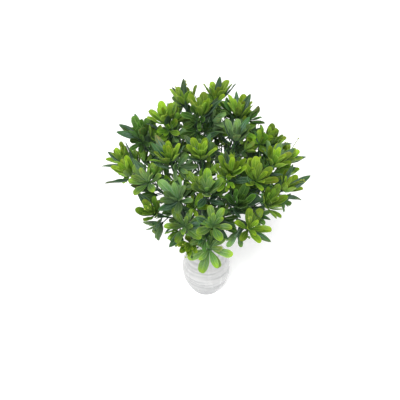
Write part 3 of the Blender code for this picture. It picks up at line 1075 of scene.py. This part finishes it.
@dataclass
class Branch:
    """One branch: its moulded stems, side leaves, sprigs and side shoots, and a rosette on each peg.

    The pairs stem_spans, knots, side_leaves and side_leaf_starts are for the main stem and for a twig. The
    other pairs are the least and the most that is drawn, or the first and the last along a stalk.
    """

    name: str
    traits: Sequence[Trait]
    nodes: dict[str, bpy.types.Object]
    root: Vector
    crown: Crown
    shoots: Shoots
    stem_radius: float = 0.0012
    twig_radius: float = 0.0010
    peg_radius: float = 0.0009
    peg_length: float = 0.0038
    root_radius: float = 0.0017
    twig_start: float = 0.62
    twig_step: float = 0.12
    rise_at_root: float = 0.035
    rise_at_twig: float = 0.020
    pull_at_peg: float = 0.35
    gap: float = 0.0003
    stem_spans: tuple[int, int] = (44, 26)
    knots: tuple[int, int] = (6, 4)
    knot_places: tuple[float, float] = (0.22, 0.93)
    knot_height: float = 0.00028
    knot_width: float = 1.1
    peg_steps: tuple[float, ...] = (0.1, 0.6, 1.0)
    peg_swell: tuple[float, ...] = (1.0, 1.0, 0.8)
    root_drops: tuple[float, ...] = (0.95, 0.7, 0.35)
    root_swell: tuple[float, ...] = (0.32, 0.71, 0.94)
    side_leaves: tuple[int, int] = (10, 7)
    side_leaf_starts: tuple[float, float] = (0.44, 0.26)
    side_leaf_end: float = 0.97
    tip_share: float = 0.84
    lowest_side_leaf: float = 0.192
    side_leaf_reach: Vector = field(default_factory=lambda: Vector((0.022, 0.0, 0.012)))
    blade_share: float = 0.95
    shoot_reach: float = 0.95
    shoot_tries: int = 12
    shoot_leans: tuple[float, float] = (34.0, 66.0)
    shoot_stalks: tuple[float, float] = (0.010, 0.020)
    shoot_stalk_radius: float = 0.0007
    shoot_sizes: tuple[float, float] = (0.60, 0.86)
    least_room: float = 0.0175
    inner_reach: float = 0.125
    sprig_shares: tuple[float, float] = (0.66, 0.86)
    sprig_leans: tuple[float, float] = (30.0, 50.0)
    sprig_stalks: tuple[float, float] = (0.012, 0.020)
    sprig_radii: tuple[float, float] = (0.0007, 0.0005)
    long_sprig: float = 2.0
    long_sprig_share: float = 0.80
    buds: int = 3
    bud_step: float = 0.14
    bud_leans: tuple[float, float] = (18.0, 52.0)
    bud_lengths: tuple[float, float] = (0.006, 0.012)
    bud_steps: tuple[float, ...] = (0.0, 0.3, 0.62, 0.72, 0.84, 0.95, 1.0)
    bud_radii: tuple[float, ...] = (0.00040, 0.00038, 0.00040, 0.00075, 0.00110, 0.00135, 0.00070)
    lines: list[StemLine] = field(default_factory=list)
    seats: list[Seat] = field(default_factory=list)

    def take_room(self) -> None:
        """Find the seats and note where the branch's rosettes stand."""
        self.seats = [Seat.of(self.nodes[f"{self.name}_cluster_{letter}"]) for letter, _ in self._clusters()]
        for seat, trait in zip(self.seats, self.traits):
            self.crown.take(seat.matrix(trait.lift))

    def build(self) -> None:
        """Make all of the branch's pieces."""
        self._draw_lines()
        self._make_stems()
        self._make_rosettes()
        self._make_side_leaves()
        self._make_side_shoots()
        self._make_sprigs()

    def _clusters(self) -> list[tuple[str, Trait]]:
        """The letter and look of each leaf cluster."""
        return list(zip("abc", self.traits))

    def _draw(self, purpose: str) -> random.Random:
        """A source of chance of its own for each of the branch's pieces."""
        return random.Random(f"{self.name} {purpose}")

    def _line(self, start: Vector, heading: Vector, rise: float, seat: Seat) -> StemLine:
        """The curve from a start to the foot of a seat's peg.

        Args:
            start: where it starts.
            heading: the way it starts.
            rise: how far it holds that heading.
            seat: the seat it ends at.

        Returns:
            The curve.
        """
        end = seat.point - seat.axis * self.gap
        pull = (end - start).length * self.pull_at_peg
        return StemLine(start, start + heading * rise, end - seat.axis * pull, end)

    def _draw_lines(self) -> None:
        """Work out the curves of the stem and its twigs."""
        main = self._line(self.root, Vector((0.0, 0.0, 1.0)), self.rise_at_root, self.seats[0])
        self.lines = [main]
        for i, seat in enumerate(self.seats[1:]):
            at = self.twig_start - self.twig_step * i
            start = main.point(at)
            heading = (main.tangent(at) + (seat.point - start).normalized()).normalized()
            self.lines.append(self._line(start, heading, self.rise_at_twig, seat))

    def _make_stems(self) -> None:
        """The stem with its rounded root, joints and pegs."""
        draw = self._draw("stems")
        moulding = Moulding()
        for number, (line, seat) in enumerate(zip(self.lines, self.seats)):
            twig = int(number > 0)
            spans = self.stem_spans[twig]
            share = np.linspace(0.0, 1.0, spans + 1)
            thick = (self.stem_radius, self.twig_radius)[twig]
            radii = thick + (self.peg_radius - thick) * share
            for knot in np.linspace(*self.knot_places, self.knots[twig]):
                place = knot + draw.uniform(-0.04, 0.04)
                radii += self.knot_height * np.exp(-(((share - place) * spans / self.knot_width) ** 2))
            peg = np.array([seat.point + seat.axis * self.peg_length * step for step in self.peg_steps])
            path = np.concatenate([line.points(spans), peg])
            radii = np.concatenate([radii, np.array(self.peg_swell) * self.peg_radius])
            if not twig:
                path, radii = self._rooted(path, radii)
            moulding.tube(path, radii, chance_tone(draw), sides=12)
        moulding.piece(f"{self.name}_stems", self.name, "branch_plastic", [STEM.material()], self.name)

    def _rooted(self, path: np.ndarray, radii: np.ndarray) -> tuple[np.ndarray, np.ndarray]:
        """The main stem's path and radii with its rounded root below."""
        rise = (path[:4, 2] - self.root.z) / self.root_radius
        swell = np.sqrt(np.maximum(0.0, 1.0 - rise**2))
        radii[:4] = np.maximum(radii[:4], swell * self.root_radius)
        below = [self.root - Vector((0.0, 0.0, drop * self.root_radius)) for drop in self.root_drops]
        ball = np.array(self.root_swell) * self.root_radius
        return np.concatenate([np.array(below), path]), np.concatenate([ball, radii])

    def _make_rosettes(self) -> None:
        """A rosette for each leaf cluster."""
        for (letter, trait), seat in zip(self._clusters(), self.seats):
            moulding = Moulding()
            Rosette(trait, seat.matrix(trait.lift), self._draw(f"rosette {letter}")).mould(moulding)
            finishes = [trait.tone.value.material(), THREAD.material(), STEM.material()]
            node = f"{self.name}_cluster_{letter}"
            moulding.piece(f"{self.name}_rosette_{letter}", self.name, "leaf_plastic", finishes, node)

    def _make_side_leaves(self) -> None:
        """Narrow dark leaves along the stem and its twigs, and the long blades beside the rosettes."""
        draw = self._draw("side leaves")
        moulding = Moulding()
        turn = draw.uniform(0.0, math.tau)
        for number, (line, trait) in enumerate(zip(self.lines, self.traits)):
            twig = int(number > 0)
            for share in np.linspace(self.side_leaf_starts[twig], self.side_leaf_end, self.side_leaves[twig]):
                turn += GOLDEN_ANGLE + draw.uniform(-0.3, 0.3)
                size, rises = ALONG_STEM.draw(draw)
                size *= 0.8 + 0.2 * share
                if share > self.tip_share:
                    size, rises = AT_TIP.draw(draw)
                place = line.matrix(share, turn) @ Matrix.Translation((self.peg_radius * 0.6, 0.0, 0.0))
                twist, wave, tone = draw.uniform(-25.0, 25.0), draw.uniform(-0.2, 0.2), chance_tone(draw)
                if (place @ self.side_leaf_reach).z > self.lowest_side_leaf:
                    LANCE.add_to(moulding, place, rises, tone, size, twist, wave)
            for azimuth, lean, length in trait.blades:
                place = self._facing(line, self.blade_share, azimuth, lean)
                rises = (14.0, 4.0, -3.0, 2.0 + draw.uniform(-8.0, 8.0))
                twist, tone = draw.uniform(-14.0, 14.0), chance_tone(draw)
                LANCE.add_to(moulding, place, rises, tone, length * draw.uniform(1.0, 1.1), twist, wave=0.05)
        moulding.piece(f"{self.name}_side_leaves", self.name, "leaf_plastic", [Tone.LANCE.value.material()])

    @staticmethod
    def _facing(line: StemLine, share: float, azimuth: float, lean: float) -> Matrix:
        """Matrix at a share of a curve whose +X points the way given and whose +Z is nearest the curve's.

        Args:
            line: the curve.
            share: the share along it.
            azimuth: degrees from +X.
            lean: degrees from straight up.

        Returns:
            The matrix.
        """
        around, off = math.radians(azimuth), math.radians(lean)
        out = Vector((math.sin(off) * math.cos(around), math.sin(off) * math.sin(around), math.cos(off)))
        along = line.tangent(share) + Vector((0.0, -0.4, 0.0))
        face = (along - out * along.dot(out)).normalized()
        turned = Matrix((out, face.cross(out), face)).transposed().to_4x4()
        return Matrix.Translation(line.point(share)) @ turned

    def _make_side_shoots(self) -> None:
        """Smaller rosettes on short stalks below the ends, each where the crown has the most room."""
        draw = self._draw("side shoots")
        moulding = Moulding()
        turn = draw.uniform(0.0, math.tau)
        for number, (line, seat) in enumerate(zip(self.lines, self.seats)):
            reach = self.shoot_reach * (seat.point - self.crown.middle).length
            for share in self.shoots.value[int(number > 0)]:
                turn += draw.uniform(0.0, 0.6)
                stalk = draw.uniform(*self.shoot_stalks)
                heads = []
                for i in range(self.shoot_tries):
                    lean = Matrix.Rotation(math.radians(draw.uniform(*self.shoot_leans)), 4, "Y")
                    start = line.matrix(share, turn + math.tau * i / self.shoot_tries) @ lean
                    heads.append(start @ Matrix.Translation((0.0, 0.0, stalk)))
                head, room = self.crown.roomiest(heads, reach)
                if room > self.least_room:
                    self._shoot(moulding, draw, head, stalk)
        fresh, *others = (tone.value.material() for tone in (Tone.FRESH, Tone.DEEP, Tone.BRIGHT, Tone.DULL))
        finishes = [fresh, THREAD.material(), STEM.material(), *others]
        if moulding.count:
            moulding.piece(f"{self.name}_side_shoots", self.name, "leaf_plastic", finishes)

    def _shoot(self, moulding: Moulding, draw: random.Random, head: Matrix, stalk: float) -> None:
        """Mould one side shoot.

        Args:
            moulding: the piece.
            draw: the source of chance.
            head: the place of its rosette, with +Z along the stalk.
            stalk: the length of its stalk.
        """
        steps = [head @ Vector((0.0, 0.0, -stalk * step)) for step in (1.0, 0.7, 0.35, 0.0)]
        radii = np.full(len(steps), self.shoot_stalk_radius)
        moulding.tube(np.array(steps), radii, chance_tone(draw), slot=2)
        trait = Trait(Tone.FRESH, Habit.TUFT, size=draw.uniform(*self.shoot_sizes))
        self.crown.take(head, trait.size)
        # Shoots deep in the crown mostly take the deep green, partly as painted shade.
        inner = (head.to_translation() - self.crown.middle).length < self.inner_reach
        slots = INNER_SHADE_SLOTS if inner else OUTER_SLOTS
        Rosette(trait, head, draw, slot=draw.choice(slots)).mould(moulding)

    def _make_sprigs(self) -> None:
        """Thin forked sprigs with cone-shaped buds."""
        draw = self._draw("sprigs")
        moulding = Moulding()
        for line, trait in zip(self.lines, self.traits):
            start = line.matrix(draw.uniform(*self.sprig_shares), draw.uniform(0.0, math.tau))
            heading = start @ Matrix.Rotation(math.radians(draw.uniform(*self.sprig_leans)), 4, "Y")
            scale = 1.0
            if trait.sprig:
                scale = self.long_sprig
                outwards = self._facing(line, self.long_sprig_share, *trait.sprig)
                heading = outwards @ Matrix.Rotation(math.pi / 2.0, 4, "Y")
            stalk = draw.uniform(*self.sprig_stalks) * scale
            bow = draw.uniform(-0.003, 0.003)
            share = np.linspace(0.0, 1.0, 7)
            path = [heading @ Vector((bow * math.sin(math.pi * s), bow * s, stalk * s)) for s in share]
            moulding.tube(np.array(path), np.linspace(*self.sprig_radii, 7), chance_tone(draw))
            for i in range(self.buds):
                fork = heading @ Matrix.Translation((0.0, bow, stalk * (0.97 - self.bud_step * i)))
                fork = fork @ Matrix.Rotation(GOLDEN_ANGLE * i, 4, "Z")
                fork = fork @ Matrix.Rotation(math.radians(draw.uniform(*self.bud_leans)), 4, "Y")
                length = draw.uniform(*self.bud_lengths) * scale
                bud = np.array([fork @ Vector((0.0, 0.0, step * length)) for step in self.bud_steps])
                moulding.tube(bud, np.array(self.bud_radii) * scale**0.8, chance_tone(draw))
        moulding.piece(f"{self.name}_sprigs", self.name, "branch_plastic", [STEM.material()])


@dataclass
class Bunch:
    """One bunch: its main stem, wire core and collar, and seven branches."""

    side: str
    traits: Sequence[Sequence[Trait]]
    frame: dict
    crown: Crown
    shoots: Shoots
    rim: float = 0.0030
    rim_radius: float = 0.0008
    fillet: float = 0.0004
    gap: float = 0.0003
    collar_wall: float = 0.0015
    rings: int = 9
    ring_depth: float = 0.00022
    ring_width: float = 0.0008
    ring_slope: float = 0.0008
    stem_top: float = 0.012
    sides: int = 28
    tone: Colour = (0.4, 0.3, 0.2)
    branches: list[Branch] = field(default_factory=list)

    def take_room(self) -> None:
        """Note where all the bunch's rosettes stand."""
        hinges = {joint["child"]: Vector(joint["pos_m"]) for joint in self.frame["joints"]}
        for number, traits in enumerate(self.traits, start=1):
            name = f"{self.side}_branch_{number}"
            branch = Branch(name, traits, self.frame["nodes"], hinges[name], self.crown, self.shoots)
            branch.take_room()
            self.branches.append(branch)

    def build(self) -> None:
        """Make all of the bunch's pieces."""
        self._make_stem()
        self._make_collar()
        core = self.frame["nodes"][f"{self.side}_bunch_wire_core"]
        core.data.materials.clear()
        core.data.materials.append(WIRE.material())
        for branch in self.branches:
            branch.build()

    def _turned(self, name: str, node: str, profile: Sequence[tuple[float, float]]) -> None:
        """A turned piece in the place of a node.

        Args:
            name: the piece's name.
            node: the node it stands for.
            profile: (radius, height) pairs up the axis and, for a hollow, back down inside.
        """
        low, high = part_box(node)
        middle = (low + high) * 0.5
        line = np.array([(middle.x, middle.y, height) for _, height in profile])
        ring = unit_ring(self.sides)
        points = np.concatenate([centre + ring * radius for centre, (radius, _) in zip(line, profile)])
        marks = ring_marks((line[:, 2] - low.z) / (high.z - low.z), self.sides)
        moulding = Moulding()
        moulding.add(points, marks, tube_faces(len(profile), self.sides), self.tone)
        moulding.piece(name, f"{self.side}_bunch", "stem_plastic", [STEM.material()], node)

    def _make_stem(self) -> None:
        """The main stem: a rod with moulded rings and an open foot round its wire."""
        node = f"{self.side}_bunch_stem"
        low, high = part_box(node)
        radius = (high.x - low.x) * 0.5
        core_low, core_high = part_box(f"{self.side}_bunch_wire_core")
        bore = (core_high.x - core_low.x) * 0.5 + self.gap
        top = core_high.z + self.gap
        profile = [(bore * 0.5, top), (bore, top), (bore, low.z), (radius - self.fillet, low.z)]
        profile += [(radius, low.z + self.fillet)]
        inner, outer = 0.5 * self.ring_width, 0.5 * self.ring_width + self.ring_slope
        steps = ((-outer, 0.0), (-inner, self.ring_depth), (inner, self.ring_depth), (outer, 0.0))
        for i in range(1, self.rings):
            height = low.z + (high.z - low.z - self.stem_top) * i / self.rings
            profile += [(radius - depth, height + step) for step, depth in steps]
        profile += [(radius, high.z - self.fillet), (radius - self.fillet, high.z), (radius * 0.3, high.z)]
        self._turned(f"{self.side}_bunch_main_stem", node, profile)

    def _make_collar(self) -> None:
        """The collar: a cup under a flat head, with a rolled rim."""
        node = f"{self.side}_bunch_collar"
        low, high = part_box(node)
        radius = (high.x - low.x) * 0.5
        stem_low, stem_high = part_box(f"{self.side}_bunch_stem")
        seat = (stem_high.x - stem_low.x) * 0.5 + self.gap
        waist = seat + self.collar_wall
        roof = stem_high.z + self.gap
        profile = [(seat * 0.3, roof), (seat, roof), (seat, low.z), (waist - self.fillet, low.z)]
        profile += [(waist, low.z + self.fillet)]
        flare_top = high.z - self.rim
        for share in np.linspace(0.0, 1.0, 9)[1:]:
            profile.append((waist + (radius - waist) * share**1.7, low.z + (flare_top - low.z) * share))
        for turn in np.linspace(0.0, 0.5 * math.pi, 7)[1:]:
            inset, drop = self.rim_radius * (1.0 - math.cos(turn)), self.rim_radius * (1.0 - math.sin(turn))
            profile.append((radius - inset, high.z - drop))
        profile += [(radius * 0.5, high.z), (radius * 0.1, high.z)]
        self._turned(f"{self.side}_bunch_head_collar", node, profile)


@dataclass
class Vase:
    """The thrown vase: irregular ribs outside, a smooth wall inside, a rolled lip and a wiped foot."""

    foot_to_belly: float = 0.050
    belly_to_neck: float = 0.056
    neck_to_lip: float = 0.024
    foot_radius: float = 0.0225
    belly_radius: float = 0.0380
    neck_radius: float = 0.0210
    lip_radius: float = 0.0265
    wall: float = 0.0030
    floor: float = 0.0060
    roundness: float = 2.2
    rib_pitch: float = 0.0085
    rib_depth: float = 0.00105
    rib_wander: float = 0.0016
    first_rib: float = 0.0065
    plain_lip: float = 0.008
    rib_waves: tuple[int, ...] = (1, 2, 3, 5)
    foot_rise: float = 0.0016
    foot_edge: tuple[tuple[float, float], ...] = ((0.0014, 0.0), (0.0006, 0.0003), (0.0001, 0.0009))
    bare_foot: float = 0.003
    lip_rise: float = 0.0012
    lip_steps: int = 10
    inner_top: float = 0.0014
    inner_rise: float = 0.0035
    inner_rows: int = 60
    floor_edge: tuple[tuple[float, float], ...] = ((0.0006, 0.0018), (-0.0010, 0.0004), (-0.0035, 0.0))
    sides: int = 168
    rows: int = 190

    def radius(self, height: np.ndarray) -> np.ndarray:
        """Radius of the outside at each height, without its ribs."""
        below = (self.foot_to_belly - height) / self.foot_to_belly
        swell = self.belly_radius - self.foot_radius
        low = self.foot_radius + swell * (1.0 - np.clip(below, 0.0, 1.0) ** self.roundness)
        above = (height - self.foot_to_belly) / self.belly_to_neck
        narrowing = self.belly_radius - self.neck_radius
        middle = self.neck_radius + narrowing * 0.5 * (1.0 + np.cos(np.pi * above))
        over = (height - self.foot_to_belly - self.belly_to_neck) / self.neck_to_lip
        top = self.neck_radius + (self.lip_radius - self.neck_radius) * over**2
        return np.where(below >= 0.0, low, np.where(over <= 0.0, middle, top))

    def _ribs(self, height: np.ndarray, turn: np.ndarray) -> np.ndarray:
        """How far the thrown grooves stand in (negative) from the outside at each height and turn."""
        draw = random.Random("thrown ribs")
        depth = np.zeros(np.broadcast(height, turn).shape)
        top = self.foot_to_belly + self.belly_to_neck + self.neck_to_lip
        level = self.first_rib
        while level < top - self.plain_lip:
            waves = sum(
                draw.uniform(0.3, 0.9) / k * np.sin(k * turn + draw.uniform(0.0, math.tau))
                for k in self.rib_waves
            )
            centre = level + self.rib_wander * waves
            fade = 0.62 + 0.55 * np.sin(draw.choice((1, 2, 3)) * turn + draw.uniform(0.0, math.tau))
            spread = self.rib_pitch * draw.uniform(0.15, 0.30)
            strength = self.rib_depth * draw.uniform(0.7, 1.2) * np.clip(fade, 0.0, 1.0)
            depth -= strength * np.exp(-(((height - centre) / spread) ** 2))
            level += self.rib_pitch * draw.uniform(0.45, 0.95)
        return depth

    def build(self) -> None:
        """Make the vase in the place of its node."""
        low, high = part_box("vase")
        top = high.z - low.z
        turn = 2.0 * np.pi * np.arange(self.sides) / self.sides
        ribbed = np.linspace(0.0, 1.0, self.rows) * (top - self.foot_rise - self.lip_rise) + self.foot_rise
        ribs = self._ribs(ribbed[:, None], turn[None, :])
        outside = self.radius(ribbed)[:, None] + ribs
        groove = np.clip(-ribs / self.rib_depth, 0.0, 1.0)
        rows: list[tuple[np.ndarray, np.ndarray, tuple[np.ndarray, float, float]]] = []
        flat = np.zeros(self.sides)
        for radius, height in self._foot():
            rows.append((flat + radius, flat + height, (flat, 0.0, 1.0)))
        for radius, height, depth in zip(outside, ribbed, groove):
            rows.append((radius, flat + height, (depth, 0.0, float(height < self.bare_foot))))
        for radius, height in self._lip(top):
            rows.append((flat + radius, flat + height, (flat, 0.0, 0.0)))
        for radius, height in self._inside(top):
            rows.append((flat + radius, flat + height, (flat, 1.0, 0.0)))
        points = [np.stack([np.cos(turn) * r, np.sin(turn) * r, z + low.z], 1) for r, z, _ in rows]
        marks = [np.stack([depth, flat + inside, flat + bare], 1) for _, _, (depth, inside, bare) in rows]
        mesh = bpy.data.meshes.new("vase_body")
        mesh.from_pydata(np.concatenate(points).tolist(), [], tube_faces(len(rows), self.sides))
        set_mark(mesh, "thrown", marks)
        show("vase_body", mesh, "vase", "vase_glaze", [GLAZE.material()], "vase")

    def _foot(self) -> list[tuple[float, float]]:
        """Radii and heights of the underside, from its middle out to the edge of the foot."""
        under = [(self.foot_radius * 0.04, 0.0), (self.foot_radius * 0.5, 0.0)]
        return under + [(self.foot_radius - inset, height) for inset, height in self.foot_edge]

    def _lip(self, top: float) -> list[tuple[float, float]]:
        """Radii and heights over the rolled lip, from the outside in."""
        half = 0.5 * self.wall
        angles = [math.pi * i / self.lip_steps for i in range(1, self.lip_steps)]
        base = top - self.lip_rise
        return [
            (self.lip_radius - half + half * math.cos(angle), base + self.lip_rise * math.sin(angle))
            for angle in angles
        ]

    def _inside(self, top: float) -> list[tuple[float, float]]:
        """Radii and heights down the inner wall and in to the middle of the floor."""
        down = np.linspace(top - self.inner_top, self.floor + self.inner_rise, self.inner_rows)
        wall = [(float(r), float(z)) for r, z in zip(self.radius(down) - self.wall, down)]
        base = float(self.radius(np.array([self.floor]))[0]) - self.wall
        edge = [(base + outset, self.floor + height) for outset, height in self.floor_edge]
        return wall + edge + [(base * 0.5, self.floor), (base * 0.04, self.floor)]


@dataclass(frozen=True)
class Sun:
    """An even soft light from one side: the way towards it, its strength and how wide it looks in degrees."""

    name: str
    way: tuple[float, float, float]
    strength: float
    width: float

    def build(self) -> None:
        """Put the light in the scene."""
        lamp = bpy.data.lights.new(self.name, "SUN")
        lamp.angle = math.radians(self.width)
        lamp.energy = self.strength
        obj = bpy.data.objects.new(self.name, lamp)
        obj.rotation_euler = Vector(self.way).to_track_quat("Z", "Y").to_euler()
        bpy.context.scene.collection.objects.link(obj)


@dataclass
class Studio:
    """A pale floor, an even white surround, soft lights and the camera."""

    floor_radius: float = 2.6
    floor_sides: int = 96
    floor_drop: float = 0.0002
    sweep: float = 0.8
    wall_height: float = 2.0
    surround: float = 0.46
    suns: tuple[Sun, ...] = (
        Sun("key", way=(-0.14, -0.76, 1.0), strength=2.25, width=18.0),
        Sun("fill", way=(0.80, 0.10, 1.0), strength=0.30, width=70.0),
    )
    lens: float = 63.0
    sensor: float = 36.0
    camera_place: tuple[float, float, float] = (-0.01, -0.769, 0.881)
    camera_tilt: float = 48.0

    def build(self) -> None:
        """Set up the floor, the lights and the camera."""
        self._make_floor()
        self._make_surround()
        for sun in self.suns:
            sun.build()
        self._make_camera()

    def _make_floor(self) -> None:
        """A flat round floor under the object, swept up all round into a low wall."""
        ring = unit_ring(self.floor_sides)
        bend = np.linspace(0.0, 0.5 * np.pi, 13)
        radii = [*(self.floor_radius + self.sweep * np.sin(bend)), self.floor_radius + self.sweep]
        heights = [*(self.sweep * (1.0 - np.cos(bend))), self.wall_height]
        points = [ring * radius + (0.0, 0.0, height) for radius, height in zip(radii, heights)]
        faces = [tuple(range(self.floor_sides)), *band_faces(len(points), self.floor_sides)]
        mesh = bpy.data.meshes.new("floor")
        mesh.from_pydata(np.concatenate(points).tolist(), [], faces)
        mesh.shade_smooth()
        mesh.set_sharp_from_angle(angle=math.radians(20.0))
        mesh.materials.append(FLOOR.material())
        floor = bpy.data.objects.new("floor", mesh)
        floor.location.z = -self.floor_drop
        bpy.context.scene.collection.objects.link(floor)

    def _make_surround(self) -> None:
        """Even white light from all round."""
        world = bpy.data.worlds.new("surround")
        world.use_nodes = True
        background = world.node_tree.nodes["Background"]
        background.inputs["Color"].default_value = (1.0, 1.0, 1.0, 1.0)
        background.inputs["Strength"].default_value = self.surround
        bpy.context.scene.world = world
        bpy.context.scene.view_settings.view_transform = "Standard"

    def _make_camera(self) -> None:
        """The camera, looking down on the shrub from the front."""
        camera = bpy.data.cameras.new("camera")
        camera.lens = self.lens
        camera.sensor_width = self.sensor
        obj = bpy.data.objects.new("camera", camera)
        obj.location = self.camera_place
        obj.rotation_euler = (math.radians(self.camera_tilt), 0.0, 0.0)
        bpy.context.scene.collection.objects.link(obj)
        bpy.context.scene.camera = obj


FRONT_TRAITS = (
    (Trait(Tone.FADED), Trait(Tone.BRIGHT, blades=((150.0, 40.0, 1.0),)), Trait(Tone.BRIGHT)),
    (
        Trait(Tone.FADED, Habit.OPEN),
        Trait(Tone.BRIGHT, blades=((130.0, 50.0, 1.0), (170.0, 40.0, 1.0))),
        Trait(Tone.BRIGHT),
    ),
    (
        Trait(Tone.FADED, Habit.OPEN),
        Trait(Tone.DULL, Habit.OPEN, 0, 1.1, sprig=(-100.0, 160.0)),
        Trait(Tone.FRESH, Habit.CUP, 3),
    ),
    (Trait(Tone.FADED, Habit.OPEN), Trait(Tone.DEEP)),
    (Trait(Tone.BRIGHT, Habit.OPEN), Trait(Tone.DULL, blades=((35.0, 35.0, 1.0),)), Trait(Tone.BRIGHT)),
    (
        Trait(Tone.FRESH),
        Trait(Tone.BRIGHT, Habit.CUP, 3, blades=((10.0, 58.0, 1.2),)),
        Trait(Tone.BRIGHT, Habit.OPEN, 1),
    ),
    (
        Trait(Tone.FADED, Habit.SPREAD, 0, 1.12, lift=0.0, turn=90.0),
        Trait(Tone.BRIGHT, Habit.CUP, 3, 0.8, lift=0.0),
    ),
)
BACK_TRAITS = (
    (
        Trait(Tone.BRIGHT, blades=((160.0, 62.0, 1.0),)),
        Trait(Tone.DEEP, blades=((165.0, 60.0, 1.0), (185.0, 66.0, 1.0))),
        Trait(Tone.FRESH),
    ),
    (Trait(Tone.DEEP, blades=((150.0, 45.0, 1.0),)), Trait(Tone.BRIGHT), Trait(Tone.FRESH, Habit.CUP, 2)),
    (Trait(Tone.BRIGHT, Habit.CUP, 3, blades=((106.0, 14.0, 1.25),)), Trait(Tone.BRIGHT), Trait(Tone.FRESH)),
    (
        Trait(Tone.FRESH, blades=((60.0, 30.0, 1.0),)),
        Trait(Tone.BRIGHT, blades=((75.0, 30.0, 0.9),)),
        Trait(Tone.FRESH, Habit.CUP, 2),
    ),
    (Trait(Tone.FRESH), Trait(Tone.BRIGHT, blades=((40.0, 35.0, 1.0),)), Trait(Tone.DEEP)),
    (Trait(Tone.BRIGHT), Trait(Tone.FRESH), Trait(Tone.BRIGHT, Habit.CUP, 2)),
    (Trait(Tone.BRIGHT, Habit.CUP, 3), Trait(Tone.FRESH)),
)


def main() -> None:
    """Load the frame and build every piece round it."""
    logging.basicConfig(level=logging.INFO, format="%(message)s")
    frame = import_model()
    Studio().build()
    Vase().build()
    crown = Crown()
    bunches = (
        Bunch("front", FRONT_TRAITS, frame, crown, Shoots.SPARSE),
        Bunch("back", BACK_TRAITS, frame, crown, Shoots.DENSE),
    )
    for bunch in bunches:
        bunch.take_room()
    for bunch in bunches:
        bunch.build()
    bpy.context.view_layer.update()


if __name__ == "__main__":
    main()
